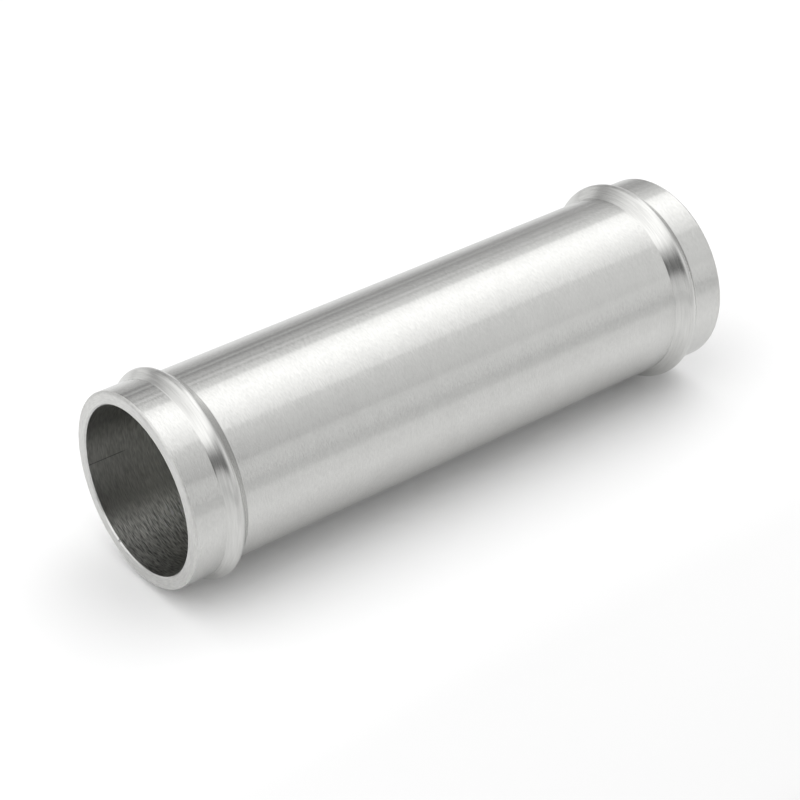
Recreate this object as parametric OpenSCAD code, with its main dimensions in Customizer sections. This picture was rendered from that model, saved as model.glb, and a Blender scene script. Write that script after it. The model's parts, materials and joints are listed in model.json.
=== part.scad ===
// Hose joiner: one turned aluminium tube with a raised bead near each end.
// It stands on one end face, with its axis along +Z. Millimetres.

/* [Tube] */
// Length over the two end faces
length = 100; // [50:1:300]
// Outside diameter of the short land between each end face and its bead
land_d = 30; // [16:0.5:120]
// Thickness of the wall at a land, from the bore to the outside
wall = 2; // [1.5:0.1:6]
// How much lower the long middle stretch lies than the lands, on the radius
body_cut = 0.5; // [0:0.05:0.8]

/* [Beads] */
// Distance from an end face to the crest of its bead
bead_at = 7; // [5:0.1:20]
// Height of the crest of a bead over the land beside it
bead_h = 1.1; // [0.5:0.05:4]
// Slope of the two straight flanks of a bead, measured from the axis
flank_deg = 42; // [25:1:60]
// Radius of the rounded crown of a bead
crown_r = 1.2; // [0.6:0.05:2]
// Radius of the hollow fillet at each foot of a bead
foot_r = 0.3; // [0.1:0.05:1]

/* [Edges] */
// Radius of the rounded outer edge of each end face
rim_r = 0.4; // [0.1:0.05:0.6]
// Width of the small chamfer at each mouth of the bore
mouth_w = 0.2; // [0.05:0.05:0.5]

/* [Hidden] */
$fn = 180;
// Largest turn of one step of an arc, in degrees
arc_deg = 6;
// Radii of the turned surfaces
land_r = land_d / 2;
body_r = land_r - body_cut;
bore_r = land_r - wall;
// Radius at which the centre of a crown's arc lies
crown_at = land_r + bead_h - crown_r;

// A bead's crown arc and foot arc are joined by a straight flank, which touches
// both. For a foot on a surface of radius base_r, bead_rise is the height of the
// crest over it, flank_lean the slope of the flank, which is less than flank_deg
// where the bead is too low for it, flank_drop the height of the straight part,
// and foot_reach the distance along the axis from the crest to the foot's end.
function bead_rise(base_r) = land_r + bead_h - base_r;
function flank_lean(base_r) =
    min(flank_deg, acos(max(-1, 1 - bead_rise(base_r) / (crown_r + foot_r))));
function flank_drop(base_r) =
    bead_rise(base_r) - (crown_r + foot_r) * (1 - cos(flank_lean(base_r)));
function foot_reach(base_r) =
    (crown_r + foot_r) * sin(flank_lean(base_r)) + flank_drop(base_r) / tan(flank_lean(base_r));

// Points of an arc about a centre, from one angle to another
function arc_steps(from, to) = max(2, ceil(abs(to - from) / arc_deg));
function arc(centre, radius, from, to) = [
    for (i = [0:arc_steps(from, to)])
        let (turn = from + (to - from) * i / arc_steps(from, to))
        centre + radius * [cos(turn), sin(turn)]
];

// Outline of one end, with the radius along X, the axis along Y and the end
// face at Y = 0: the chamfered mouth, the rim, the land and the bead.
function end_points() = concat(
    [[bore_r, mouth_w], [bore_r + mouth_w, 0]],
    arc([land_r - rim_r, rim_r], rim_r, -90, 0),
    arc([land_r + foot_r, bead_at - foot_reach(land_r)], foot_r, 180, 180 - flank_lean(land_r)),
    arc([crown_at, bead_at], crown_r, -flank_lean(land_r), flank_lean(body_r)),
    arc([body_r + foot_r, bead_at + foot_reach(body_r)], foot_r, 180 + flank_lean(body_r), 180)
);

// The same end, turned round to lie at the far end of the tube
function far_end_points() = [
    for (i = [1:len(end_points())])
        let (point = end_points()[len(end_points()) - i])
        [point[0], length - point[1]]
];

module joiner_tube() color([0.79, 0.80, 0.81])
    rotate_extrude() polygon(concat(end_points(), far_end_points()));

joiner_tube();
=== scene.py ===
import json
import math

import bpy
from mathutils import Matrix, Vector


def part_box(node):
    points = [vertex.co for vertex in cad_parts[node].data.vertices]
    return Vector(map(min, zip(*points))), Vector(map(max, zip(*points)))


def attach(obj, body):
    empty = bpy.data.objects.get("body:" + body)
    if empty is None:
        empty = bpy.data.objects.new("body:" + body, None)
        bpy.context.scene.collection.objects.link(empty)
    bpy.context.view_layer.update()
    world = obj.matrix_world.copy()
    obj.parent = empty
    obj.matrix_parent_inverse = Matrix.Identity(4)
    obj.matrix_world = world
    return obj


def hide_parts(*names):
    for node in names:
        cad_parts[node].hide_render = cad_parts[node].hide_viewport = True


# The looks of a turned aluminium hose joiner, which lies on a white table.
# The tube stands along +Z in the model, so the table is a plane beside it.
# Lengths are in metres and angles in degrees, apart from names that end in _MM.

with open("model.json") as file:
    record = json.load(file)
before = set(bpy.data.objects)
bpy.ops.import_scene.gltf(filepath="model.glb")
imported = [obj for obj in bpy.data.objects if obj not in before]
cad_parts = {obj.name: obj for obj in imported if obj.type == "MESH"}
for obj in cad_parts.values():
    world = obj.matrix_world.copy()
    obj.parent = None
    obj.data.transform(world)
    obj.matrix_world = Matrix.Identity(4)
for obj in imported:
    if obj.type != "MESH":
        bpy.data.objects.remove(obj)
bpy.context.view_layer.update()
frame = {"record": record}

MM = 0.001
mount_dims = {mount["name"]: mount["dims"] for mount in frame["record"]["mounts"]}
tube_low, tube_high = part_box("joiner_tube")

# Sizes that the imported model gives
LENGTH = tube_high.z - tube_low.z
CREST_R = tube_high.x
LAND_R = mount_dims["spigot_top"]["r_mm"] * MM
BODY_R = mount_dims["hose_seat"]["r_mm"] * MM
BORE_R = mount_dims["bore"]["r_mm"] * MM
MOUTH_W = (LENGTH - mount_dims["bore"]["length_mm"] * MM) / 2

# Sizes of the turned curves
BEAD_AT = 7.0 * MM
CROWN_R = 1.2 * MM
FOOT_R = 0.3 * MM
FLANK_LEAN = 42.0
RIM_R = 0.4 * MM

# Which way the straight stretches of the outline face, as an angle from straight out towards +Z
OUTWARD = 0
INWARD = 180
MOUTH_LEAN = 225
DOWNWARD = 270

# The nick at the edge of the top mouth
NICK_AT = 110.0
NICK_WIDE = 1.5
NICK_DEEP = 0.12 * MM

# Fineness of the mesh
TURN_STEPS = 320
CROWN_STEPS = 30
FOOT_STEPS = 10
RIM_STEPS = 10
STRAIGHT_STEP = 4.0 * MM

# The room: up from the table, level towards the camera, and along the tube
UP = Vector((1, -1, 0)).normalized()
SIDE = Vector((-1, -1, 0)).normalized()
ALONG = Vector((0, 0, 1))

# The camera, in the directions of the room
CAMERA_UP = 204.987 * MM
CAMERA_SIDE = 246.467 * MM
CAMERA_ALONG = 247.144 * MM
CAMERA_PITCH = 33.653
CAMERA_HEADING = 51.700
LENS_MM = 112.129
SENSOR_MM = 36.0
CLIP_START = 0.01
CLIP_END = 20

# The table, whose painted shades, for light that falls off away from the tube, are (distance towards the
# camera's side in mm, white) stops
TABLE_SIZE = 2.4
TABLE_REACH_MM = 300
TABLE_PAINTED_SHADE = [
    (-260, 0.74), (-190, 0.86), (-80, 0.88), (-35, 0.96), (0, 0.97),
    (30, 0.94), (48, 0.84), (88, 0.81), (106, 0.67), (200, 0.66),
]

# Noise of the finishes: how often it changes in a metre, around the tube and along it
HAIRLINES = (1500, 6400)
BEAD_LINES = (260, 6400)
FACE_RINGS = (900, 6400)
CLOUDS = (160, 420)
BORE_HAIRLINES = (850, 5600)
BORE_CLOUDS = (120, 1500)
# The share of the hairlines in the shade, beside the clouds
HAIRLINE_SHARE = 0.8
BORE_HAIRLINE_SHARE = 0.88
# The values between which most of the noise lies
NOISE_LOW = 0.3
NOISE_HIGH = 0.7

# Bare metal
METAL = (0.575, 0.575, 0.562)
GROOVE_DEPTH = 0.02 * MM
ROUGHNESS_SPREAD = 0.12
# A quarter of a turn, with which reflections blur along the tube
BLUR_ALONG = 0.25

# The bore: its colour, the lines' strength, and the painted shade and painted light by which its colour is
# darker just behind the mouth and lighter deeper in
BORE_COLOUR = (0.43, 0.43, 0.41)
BORE_CALM = 0.14
BORE_STRONG = 0.6
BORE_MOUTH_PAINTED_SHADE = 0.72
BORE_DEEP_PAINTED_LIGHT = 1.45
BORE_DEEP_AT = 10 * MM
# The gain of its shade, a painted sheen that is lighter on its underside, and the strength of its lines, as
# (angle round the tube, value) stops
BORE_PAINTED_SHEEN = [
    (-180, 0.93), (-168, 1.0), (-154, 1.34), (-146, 1.27), (-133, 0.80), (-110, 1.16),
    (-90, 1.40), (-72, 0.77), (0, 0.92), (160, 0.68), (180, 0.93),
]
BORE_LINES = [(-180, 1.0), (-150, 1.0), (-135, 0.15), (120, 0.15), (150, 1.0), (180, 1.0)]

# The scratch in the bore, which runs from the top mouth downwards
SCRATCH_AT = -101.5
SCRATCH_CORE = 0.03 * MM
SCRATCH_EDGE = 0.09 * MM
SCRATCH_FULL_TO = 5.5 * MM
SCRATCH_ENDS = 7 * MM
SCRATCH_DARKENS = 0.55

# The light of the room. Its bands lie at the angle round the tube at which its
# side mirrors a direction to the camera, which the view's pull takes care of.
VIEW_PULL = (0.544, 0.655)
# Where along the room one light blends into the next, from its far end to its near one
END_TO_BANDS = (-0.92, -0.72)
FAR_TO_NEAR_BANDS = (-0.62, -0.42)
BANDS_TO_NEAR_ROOM = (-0.35, -0.08)
END_WALL = (0.6, 0.6, 0.6, 1)
# The lights as (angle, brightness) stops
NEAR_ROOM = [
    (-112, 1.3), (-100, 1.08), (-85, 1.0), (-77, 0.85), (-71, 0.52), (-65, 0.55),
    (-53, 0.88), (-45, 1.10), (-36, 1.32), (-26, 1.47), (-14, 1.62), (0, 1.70),
    (18, 1.72), (26, 1.50), (31, 1.25), (36, 0.85), (44, 0.55), (50, 0.24),
    (64, 0.18), (69, 0.50), (73, 0.78), (86, 0.92),
]
SLATS = [
    (-16.2, 1.0), (-15.2, 0.62), (-12.8, 0.62), (-12.0, 1.08), (-10.4, 1.08), (-9.8, 0.55),
    (-8.3, 0.55), (-7.6, 0.80), (-5.8, 0.86), (-5.0, 1.0), (-3.5, 1.0), (-2.9, 0.68),
    (-1.5, 0.68), (-0.8, 1.12), (0.8, 1.12), (1.4, 0.70), (2.6, 0.70), (3.2, 1.0),
]
NEAR_BANDS = [
    (-60, 0.9), (-32, 0.84), (-22, 0.66), (-17, 0.60), (-12, 0.60), (-6, 0.66),
    (-2, 0.76), (3, 0.86), (8.0, 0.96), (9.4, 1.40), (13, 1.58), (18, 1.78),
    (24, 1.77), (34, 1.38), (37.6, 1.26), (38.6, 1.0), (45, 0.89), (52, 0.78),
    (58, 0.64), (59.2, 0.80), (66, 0.83), (70, 0.79), (74, 0.79), (110, 0.75),
]
FAR_BANDS = [
    (-60, 0.8), (-30, 0.70), (-18, 0.58), (-12, 0.56), (-7, 0.60), (-2.5, 0.72),
    (2.5, 0.93), (7.6, 1.15), (9.0, 1.58), (13, 1.84), (18, 1.88), (24, 1.66),
    (34, 1.28), (37.6, 1.16), (38.6, 1.02), (46, 1.12), (52, 1.22), (60, 1.18),
    (66, 0.98), (70, 0.86), (74, 0.84), (110, 0.8),
]

# The sockets of the Mix node that hold colours
MIX_FIRST = 6
MIX_SECOND = 7
MIX_RESULT = 2


# Nodes


def node(tree, kind, inputs=None, **settings):
    """Adds a node. Each input is set to a value, or linked when it is a socket."""
    made = tree.nodes.new(kind)
    for name, value in settings.items():
        setattr(made, name, value)
    for key, value in (inputs or {}).items():
        if isinstance(value, bpy.types.NodeSocket):
            tree.links.new(value, made.inputs[key])
        else:
            made.inputs[key].default_value = value
    return made


def math_node(tree, operation, *values):
    """Adds a Math node and returns its output."""
    return node(tree, "ShaderNodeMath", dict(enumerate(values)), operation=operation).outputs[0]


def vector_node(tree, operation, first, second):
    """Adds a Vector Math node."""
    return node(tree, "ShaderNodeVectorMath", {0: first, 1: second}, operation=operation)


def map_range(tree, value, from_low, from_high, to_low, to_high, smooth=True):
    """Maps a value from one range to another, clamped at both ends."""
    inputs = {
        "Value": value,
        "From Min": from_low,
        "From Max": from_high,
        "To Min": to_low,
        "To Max": to_high,
    }
    kind = "SMOOTHSTEP" if smooth else "LINEAR"
    return node(tree, "ShaderNodeMapRange", inputs, interpolation_type=kind).outputs["Result"]


def ramp(tree, value, stops):
    """Adds a colour ramp over (position, grey or colour) stops and returns its colour."""
    made = node(tree, "ShaderNodeValToRGB", {"Fac": value})
    elements = made.color_ramp.elements
    while len(elements) < len(stops):
        elements.new(1.0)
    for element, (position, colour) in zip(elements, stops):
        element.position = position
        element.color = (*colour, 1) if isinstance(colour, tuple) else (colour, colour, colour, 1)
    return made.outputs["Color"]


def degrees_ramp(tree, angle, stops):
    """A colour ramp over an angle round the tube, from its first stop to its last one."""
    first = stops[0][0]
    last = stops[-1][0]
    position = map_range(tree, angle, math.radians(first), math.radians(last), 0, 1, smooth=False)
    return ramp(tree, position, [((degrees - first) / (last - first), grey) for degrees, grey in stops])


def blend(tree, factor, first, second):
    """Mixes two colours and returns the result."""
    inputs = {"Factor": factor, MIX_FIRST: first, MIX_SECOND: second}
    return node(tree, "ShaderNodeMix", inputs, data_type="RGBA").outputs[MIX_RESULT]


def part_along(tree, vector, axis):
    """How far a vector reaches along an axis."""
    return vector_node(tree, "DOT_PRODUCT", vector, axis).outputs["Value"]


def angle_round(tree, vector, pull=(0, 0)):
    """The angle of a vector round the tube, from up towards the camera's side, its two parts pulled first."""
    up = math_node(tree, "ADD", part_along(tree, vector, UP), pull[0])
    side = math_node(tree, "ADD", part_along(tree, vector, SIDE), pull[1])
    return math_node(tree, "ARCTAN2", side, up)


def new_material(name):
    """Returns an empty node material and its tree."""
    material = bpy.data.materials.new(name)
    material.use_nodes = True
    material.node_tree.nodes.clear()
    return material, material.node_tree


# The turned form


def arc(centre, radius, start, stop, steps, hollow=False):
    """Points (radius, height, angle of the normal) of an arc; a hollow arc's normals point inwards."""
    points = []
    for step in range(steps + 1):
        turn = start + (stop - start) * step / steps
        r = centre[0] + radius * math.cos(math.radians(turn))
        z = centre[1] + radius * math.sin(math.radians(turn))
        points.append((r, z, turn + 180 if hollow else turn))
    return points


def straight(first, last, normal):
    """Points of a straight stretch, split evenly, with one normal."""
    steps = max(1, math.ceil(math.dist(first, last) / STRAIGHT_STEP))
    points = []
    for step in range(steps + 1):
        share = step / steps
        r = first[0] + (last[0] - first[0]) * share
        z = first[1] + (last[1] - first[1]) * share
        points.append((r, z, normal))
    return points


def bead_foot(base_r):
    """How far a bead's foot reaches along the tube from the crest."""
    lean = math.radians(FLANK_LEAN)
    curved = CROWN_R + FOOT_R
    straight_drop = CREST_R - base_r - curved * (1 - math.cos(lean))
    return curved * math.sin(lean) + straight_drop / math.tan(lean)


def bead_points(land_foot, body_foot):
    """Outline of a bead, from its foot on the land over the crown to its foot on the body."""
    points = arc((LAND_R + FOOT_R, land_foot), FOOT_R, 180, 180 - FLANK_LEAN, FOOT_STEPS, hollow=True)
    points += arc((CREST_R - CROWN_R, BEAD_AT), CROWN_R, -FLANK_LEAN, FLANK_LEAN, CROWN_STEPS)
    points += arc((BODY_R + FOOT_R, body_foot), FOOT_R, 180 + FLANK_LEAN, 180, FOOT_STEPS, hollow=True)
    return points


def bottom_end():
    """Stretches of the outline, from mid-bore round the bottom end to the middle of the body."""
    land_foot = BEAD_AT - bead_foot(LAND_R)
    body_foot = BEAD_AT + bead_foot(BODY_R)
    return [
        ("bore", straight((BORE_R, LENGTH / 2), (BORE_R, MOUTH_W), INWARD)),
        ("face", straight((BORE_R, MOUTH_W), (BORE_R + MOUTH_W, 0), MOUTH_LEAN)),
        ("face", straight((BORE_R + MOUTH_W, 0), (LAND_R - RIM_R, 0), DOWNWARD)),
        ("rim", arc((LAND_R - RIM_R, RIM_R), RIM_R, -90, 0, RIM_STEPS)),
        ("tube", straight((LAND_R, RIM_R), (LAND_R, land_foot), OUTWARD)),
        ("bead", bead_points(land_foot, body_foot)),
        ("tube", straight((BODY_R, body_foot), (BODY_R, LENGTH / 2), OUTWARD)),
    ]


def top_end():
    """The bottom end turned over, from the middle of the body to the middle of the bore."""
    turned = []
    for zone, points in reversed(bottom_end()):
        turned.append((zone, [(r, LENGTH - z, -normal) for r, z, normal in reversed(points)]))
    return turned


def dent_mouth(vertices):
    """Pushes the edge of the top mouth outwards at one place, and returns the vertices that moved."""
    moved = set()
    for index, (x, y, z) in enumerate(vertices):
        reach = math.hypot(x, y)
        at_mouth = z > LENGTH - 2 * MOUTH_W and reach < BORE_R + 2 * MOUTH_W
        if at_mouth and abs(math.degrees(math.atan2(y, x)) - NICK_AT) < NICK_WIDE / 2:
            grown = 1 + NICK_DEEP / reach
            lower = NICK_DEEP if z < LENGTH - MOUTH_W / 2 else 0
            vertices[index] = (x * grown, y * grown, z - lower)
            moved.add(index)
    return moved


def spun_normal(normal, turn):
    """The outline's normal, turned round the axis."""
    level = math.cos(math.radians(normal))
    return (level * math.cos(turn), level * math.sin(turn), math.sin(math.radians(normal)))


def turned_mesh(name, materials):
    """Spins the outline round +Z into one closed mesh, with the exact normals of the outline."""
    zones = list(materials)
    turns = [math.radians(360 * step / TURN_STEPS) for step in range(TURN_STEPS)]
    stretches = bottom_end() + top_end()
    rings = sum(len(points) - 1 for zone, points in stretches)
    vertices = []
    faces = []
    normals = []
    zone_of_face = []
    for zone, points in stretches:
        for (r, z, normal_here), (next_r, next_z, normal_next) in zip(points, points[1:]):
            here = len(vertices) // TURN_STEPS
            beyond = (here + 1) % rings
            vertices += [(r * math.cos(turn), r * math.sin(turn), z) for turn in turns]
            for step in range(TURN_STEPS):
                ahead = (step + 1) % TURN_STEPS
                corners = [
                    (here, step, normal_here),
                    (here, ahead, normal_here),
                    (beyond, ahead, normal_next),
                    (beyond, step, normal_next),
                ]
                faces.append([ring * TURN_STEPS + at for ring, at, normal in corners])
                normals += [spun_normal(normal, turns[at]) for ring, at, normal in corners]
                zone_of_face.append(zones.index(zone))
    dented = dent_mouth(vertices)
    mesh = bpy.data.meshes.new(name)
    mesh.from_pydata(vertices, [], faces)
    mesh.polygons.foreach_set("material_index", zone_of_face)
    for polygon in mesh.polygons:
        if zone_of_face[polygon.index] == zones.index("face") and dented.intersection(polygon.vertices):
            for corner in polygon.loop_indices:
                normals[corner] = tuple(polygon.normal)
    mesh.shade_smooth()
    mesh.normals_split_custom_set(normals)
    for material in materials.values():
        mesh.materials.append(material)
    return mesh


# Finishes


def stretched_noise(tree, place, scales, detail=2.0):
    """Noise drawn out round the tube: few features around it and many along it."""
    around, along = scales
    mapped = node(tree, "ShaderNodeMapping", {"Vector": place, "Scale": (around, around, along)})
    inputs = {"Vector": mapped.outputs["Vector"], "Scale": 1.0, "Detail": detail}
    return node(tree, "ShaderNodeTexNoise", inputs).outputs["Fac"]


def shared_noise(tree, hairlines, clouds, share):
    """Hairlines and clouds added up, with the share that the hairlines have."""
    return math_node(tree, "MULTIPLY_ADD", clouds, 1 - share, math_node(tree, "MULTIPLY", hairlines, share))


def reach_place(tree, place):
    """The place with its height swapped for its distance from the axis, for rings on an end face."""
    split = node(tree, "ShaderNodeSeparateXYZ", {"Vector": place})
    across = {"X": split.outputs["X"], "Y": split.outputs["Y"]}
    level = node(tree, "ShaderNodeCombineXYZ", across).outputs[0]
    reach = node(tree, "ShaderNodeVectorMath", {0: level}, operation="LENGTH").outputs["Value"]
    return node(tree, "ShaderNodeCombineXYZ", {**across, "Z": reach}).outputs[0]


def shades(tree, value, colour, spread):
    """A colour that goes from darker to lighter by a share of itself."""
    darker = tuple(part * (1 - spread) for part in colour)
    lighter = tuple(part * (1 + spread) for part in colour)
    return ramp(tree, value, [(NOISE_LOW, darker), (NOISE_HIGH, lighter)])


def finish_metal(tree, colour, roughness, turned, grooves, groove):
    """Ends a material as bare metal, whose grooves run round the axis."""
    inputs = {"Height": grooves, "Strength": groove, "Distance": GROOVE_DEPTH}
    bump = node(tree, "ShaderNodeBump", inputs)
    tangent = node(tree, "ShaderNodeTangent", direction_type="RADIAL", axis="Z")
    inputs = {
        "Base Color": colour,
        "Metallic": 1.0,
        "Roughness": roughness,
        "Anisotropic": turned,
        "Anisotropic Rotation": BLUR_ALONG,
        "Normal": bump.outputs["Normal"],
        "Tangent": tangent.outputs["Tangent"],
    }
    shader = node(tree, "ShaderNodeBsdfPrincipled", inputs)
    node(tree, "ShaderNodeOutputMaterial", {"Surface": shader.outputs[0]})


def turned_finish(name, roughness, turned, groove, spread, lines=HAIRLINES, rings=False):
    """Bare turned metal with short fine hairlines round the axis and a faint cloudiness."""
    material, tree = new_material(name)
    place = node(tree, "ShaderNodeTexCoord").outputs["Object"]
    if rings:
        place = reach_place(tree, place)
    hairlines = stretched_noise(tree, place, lines)
    clouds = stretched_noise(tree, place, CLOUDS)
    mixed = shared_noise(tree, hairlines, clouds, HAIRLINE_SHARE)
    smoothest = roughness * (1 - ROUGHNESS_SPREAD)
    roughest = roughness * (1 + ROUGHNESS_SPREAD)
    rough = map_range(tree, hairlines, NOISE_LOW, NOISE_HIGH, smoothest, roughest, smooth=False)
    finish_metal(tree, shades(tree, mixed, METAL, spread), rough, turned, hairlines, groove)
    return material


def turned_outside():
    """The lands and the body."""
    return turned_finish("turned_outside", roughness=0.20, turned=1.0, groove=0.03, spread=0.09)


def burnished_bead():
    """The beads, with longer and smoother lines."""
    return turned_finish(
        "burnished_bead", roughness=0.23, turned=0.8, groove=0.02, spread=0.10, lines=BEAD_LINES
    )


def faced_end():
    """The end faces and the chamfers of the mouths, with rings round the axis."""
    return turned_finish(
        "faced_end", roughness=0.36, turned=0.6, groove=0.1, spread=0.14, lines=FACE_RINGS, rings=True
    )


def eased_rim():
    """The rounded rims, which are duller and blur all ways alike."""
    return turned_finish("eased_rim", roughness=0.5, turned=0.0, groove=0.1, spread=0.12)


def bored_inside():
    """The darker bore: strong hairlines, a painted sheen lighter on its underside, painted light deeper in
    and painted shade behind the mouths, with one long scratch.
    """
    material, tree = new_material("bored_inside")
    place = node(tree, "ShaderNodeTexCoord").outputs["Object"]
    hairlines = stretched_noise(tree, place, BORE_HAIRLINES, detail=1.0)
    clouds = stretched_noise(tree, place, BORE_CLOUDS)
    lines = shared_noise(tree, hairlines, clouds, BORE_HAIRLINE_SHARE)
    calm = shades(tree, lines, BORE_COLOUR, BORE_CALM)
    strong = shades(tree, lines, BORE_COLOUR, BORE_STRONG)
    angle = angle_round(tree, place)
    shade = blend(tree, degrees_ramp(tree, angle, BORE_LINES), calm, strong)
    height = part_along(tree, place, ALONG)
    # The painted sheen round the bore and the painted shade and light by depth multiply its colour, and so
    # does the scratch.
    gain = math_node(tree, "MULTIPLY", bore_painted_depth_shade(tree, height), degrees_ramp(tree, angle, BORE_PAINTED_SHEEN))
    gain = math_node(tree, "MULTIPLY", gain, scratch_gain(tree, place, height))
    shade = vector_node(tree, "MULTIPLY", shade, gain).outputs["Vector"]
    finish_metal(tree, shade, roughness=0.38, turned=0.7, grooves=lines, groove=0.45)
    return material


def bore_painted_depth_shade(tree, height):
    """Painted shade, darker just behind either mouth, and painted light, lighter deeper in."""
    from_middle = math_node(tree, "ABSOLUTE", math_node(tree, "SUBTRACT", height, LENGTH / 2))
    depth = math_node(tree, "SUBTRACT", LENGTH / 2, from_middle)
    return map_range(tree, depth, 0, BORE_DEEP_AT, BORE_MOUTH_PAINTED_SHADE, BORE_DEEP_PAINTED_LIGHT, smooth=False)


def scratch_gain(tree, place, height):
    """One, and less along the scratch."""
    across = math_node(tree, "ABSOLUTE", part_along(tree, place, round_angle(SCRATCH_AT + 90)))
    facing = part_along(tree, place, round_angle(SCRATCH_AT))
    scratch = map_range(tree, across, SCRATCH_CORE, SCRATCH_EDGE, 1, 0)
    scratch = math_node(tree, "MULTIPLY", scratch, map_range(tree, facing, 0, MM, 0, 1))
    deep_enough = map_range(tree, height, LENGTH - SCRATCH_ENDS, LENGTH - SCRATCH_FULL_TO, 0, 1)
    scratch = math_node(tree, "MULTIPLY", scratch, deep_enough)
    return math_node(tree, "MULTIPLY_ADD", scratch, -SCRATCH_DARKENS, 1.0)


def round_angle(degrees):
    """Unit vector square to the axis, at an angle from the room's up towards the camera's side."""
    return UP * math.cos(math.radians(degrees)) + SIDE * math.sin(math.radians(degrees))


def table_material():
    """White matt table with painted shade, darker far in front of the tube and behind it, that is clear from
    below.
    """
    material, tree = new_material("white_table")
    place = node(tree, "ShaderNodeTexCoord").outputs["Object"]
    across = node(tree, "ShaderNodeSeparateXYZ", {"Vector": place}).outputs["X"]
    reach = TABLE_REACH_MM * MM
    position = map_range(tree, across, -reach, reach, 0, 1, smooth=False)
    # The colour ramp paints shade onto the table, darker far in front of the tube and behind it.
    stops = [((distance / TABLE_REACH_MM + 1) / 2, white) for distance, white in TABLE_PAINTED_SHADE]
    matt = node(tree, "ShaderNodeBsdfDiffuse", {"Color": ramp(tree, position, stops)}).outputs[0]
    clear = node(tree, "ShaderNodeBsdfTransparent").outputs[0]
    from_below = node(tree, "ShaderNodeNewGeometry").outputs["Backfacing"]
    mixed = node(tree, "ShaderNodeMixShader", {0: from_below, 1: matt, 2: clear})
    node(tree, "ShaderNodeOutputMaterial", {"Surface": mixed.outputs[0]})
    return material


# The scene


def add_tube():
    """The dressed tube takes the place of the plain one."""
    materials = {
        "tube": turned_outside(),
        "bead": burnished_bead(),
        "face": faced_end(),
        "rim": eased_rim(),
        "bore": bored_inside(),
    }
    tube = bpy.data.objects.new("turned_tube", turned_mesh("turned_tube", materials))
    bpy.context.scene.collection.objects.link(tube)
    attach(tube, "root")
    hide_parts("joiner_tube")


def add_table():
    """The table touches the crests of both beads, with its X towards the camera's side."""
    half = TABLE_SIZE / 2
    corners = [(-half, -half, 0), (half, -half, 0), (half, half, 0), (-half, half, 0)]
    mesh = bpy.data.meshes.new("table")
    mesh.from_pydata(corners, [], [(0, 1, 2, 3)])
    mesh.materials.append(table_material())
    table = bpy.data.objects.new("table", mesh)
    table.matrix_world = Matrix((SIDE, UP.cross(SIDE), UP)).transposed().to_4x4()
    table.location = -UP * CREST_R + ALONG * LENGTH / 2
    bpy.context.scene.collection.objects.link(table)


def banded_light(tree, direction, along):
    """The bands of light and shade over the far half of the table, and the wall beyond its far end."""
    angle = angle_round(tree, direction, VIEW_PULL)
    near = degrees_ramp(tree, angle, NEAR_BANDS)
    slats = degrees_ramp(tree, angle, SLATS)
    near = vector_node(tree, "MULTIPLY", near, slats).outputs["Vector"]
    far = degrees_ramp(tree, angle, FAR_BANDS)
    bands = blend(tree, map_range(tree, along, *FAR_TO_NEAR_BANDS, 0, 1), far, near)
    return blend(tree, map_range(tree, along, *END_TO_BANDS, 0, 1), END_WALL, bands)


def studio_world():
    """The room in which the tube lies, with the far half and the near half of its light."""
    world = bpy.data.worlds.new("studio")
    world.use_nodes = True
    tree = world.node_tree
    tree.nodes.clear()
    direction = node(tree, "ShaderNodeTexCoord").outputs["Generated"]
    along = part_along(tree, direction, ALONG)
    far_half = banded_light(tree, direction, along)
    near_half = degrees_ramp(tree, angle_round(tree, direction), NEAR_ROOM)
    light = blend(tree, map_range(tree, along, *BANDS_TO_NEAR_ROOM, 0, 1), far_half, near_half)
    shader = node(tree, "ShaderNodeBackground", {"Color": light, "Strength": 1.0})
    node(tree, "ShaderNodeOutputWorld", {"Surface": shader.outputs[0]})
    bpy.context.scene.world = world


def add_camera():
    """The camera at the photograph's place, level with the table from left to right."""
    pitch = math.radians(CAMERA_PITCH)
    heading = math.radians(CAMERA_HEADING)
    level = -ALONG * math.cos(heading) - SIDE * math.sin(heading)
    forward = level * math.cos(pitch) - UP * math.sin(pitch)
    right = forward.cross(UP).normalized()
    data = bpy.data.cameras.new("camera")
    data.lens = LENS_MM
    data.sensor_width = SENSOR_MM
    data.clip_start = CLIP_START
    data.clip_end = CLIP_END
    camera = bpy.data.objects.new("camera", data)
    camera.matrix_world = Matrix((right, right.cross(forward), -forward)).transposed().to_4x4()
    camera.location = UP * CAMERA_UP + SIDE * CAMERA_SIDE + ALONG * CAMERA_ALONG
    bpy.context.scene.collection.objects.link(camera)
    bpy.context.scene.camera = camera


add_tube()
add_table()
studio_world()
add_camera()
bpy.context.scene.view_settings.view_transform = "Standard"
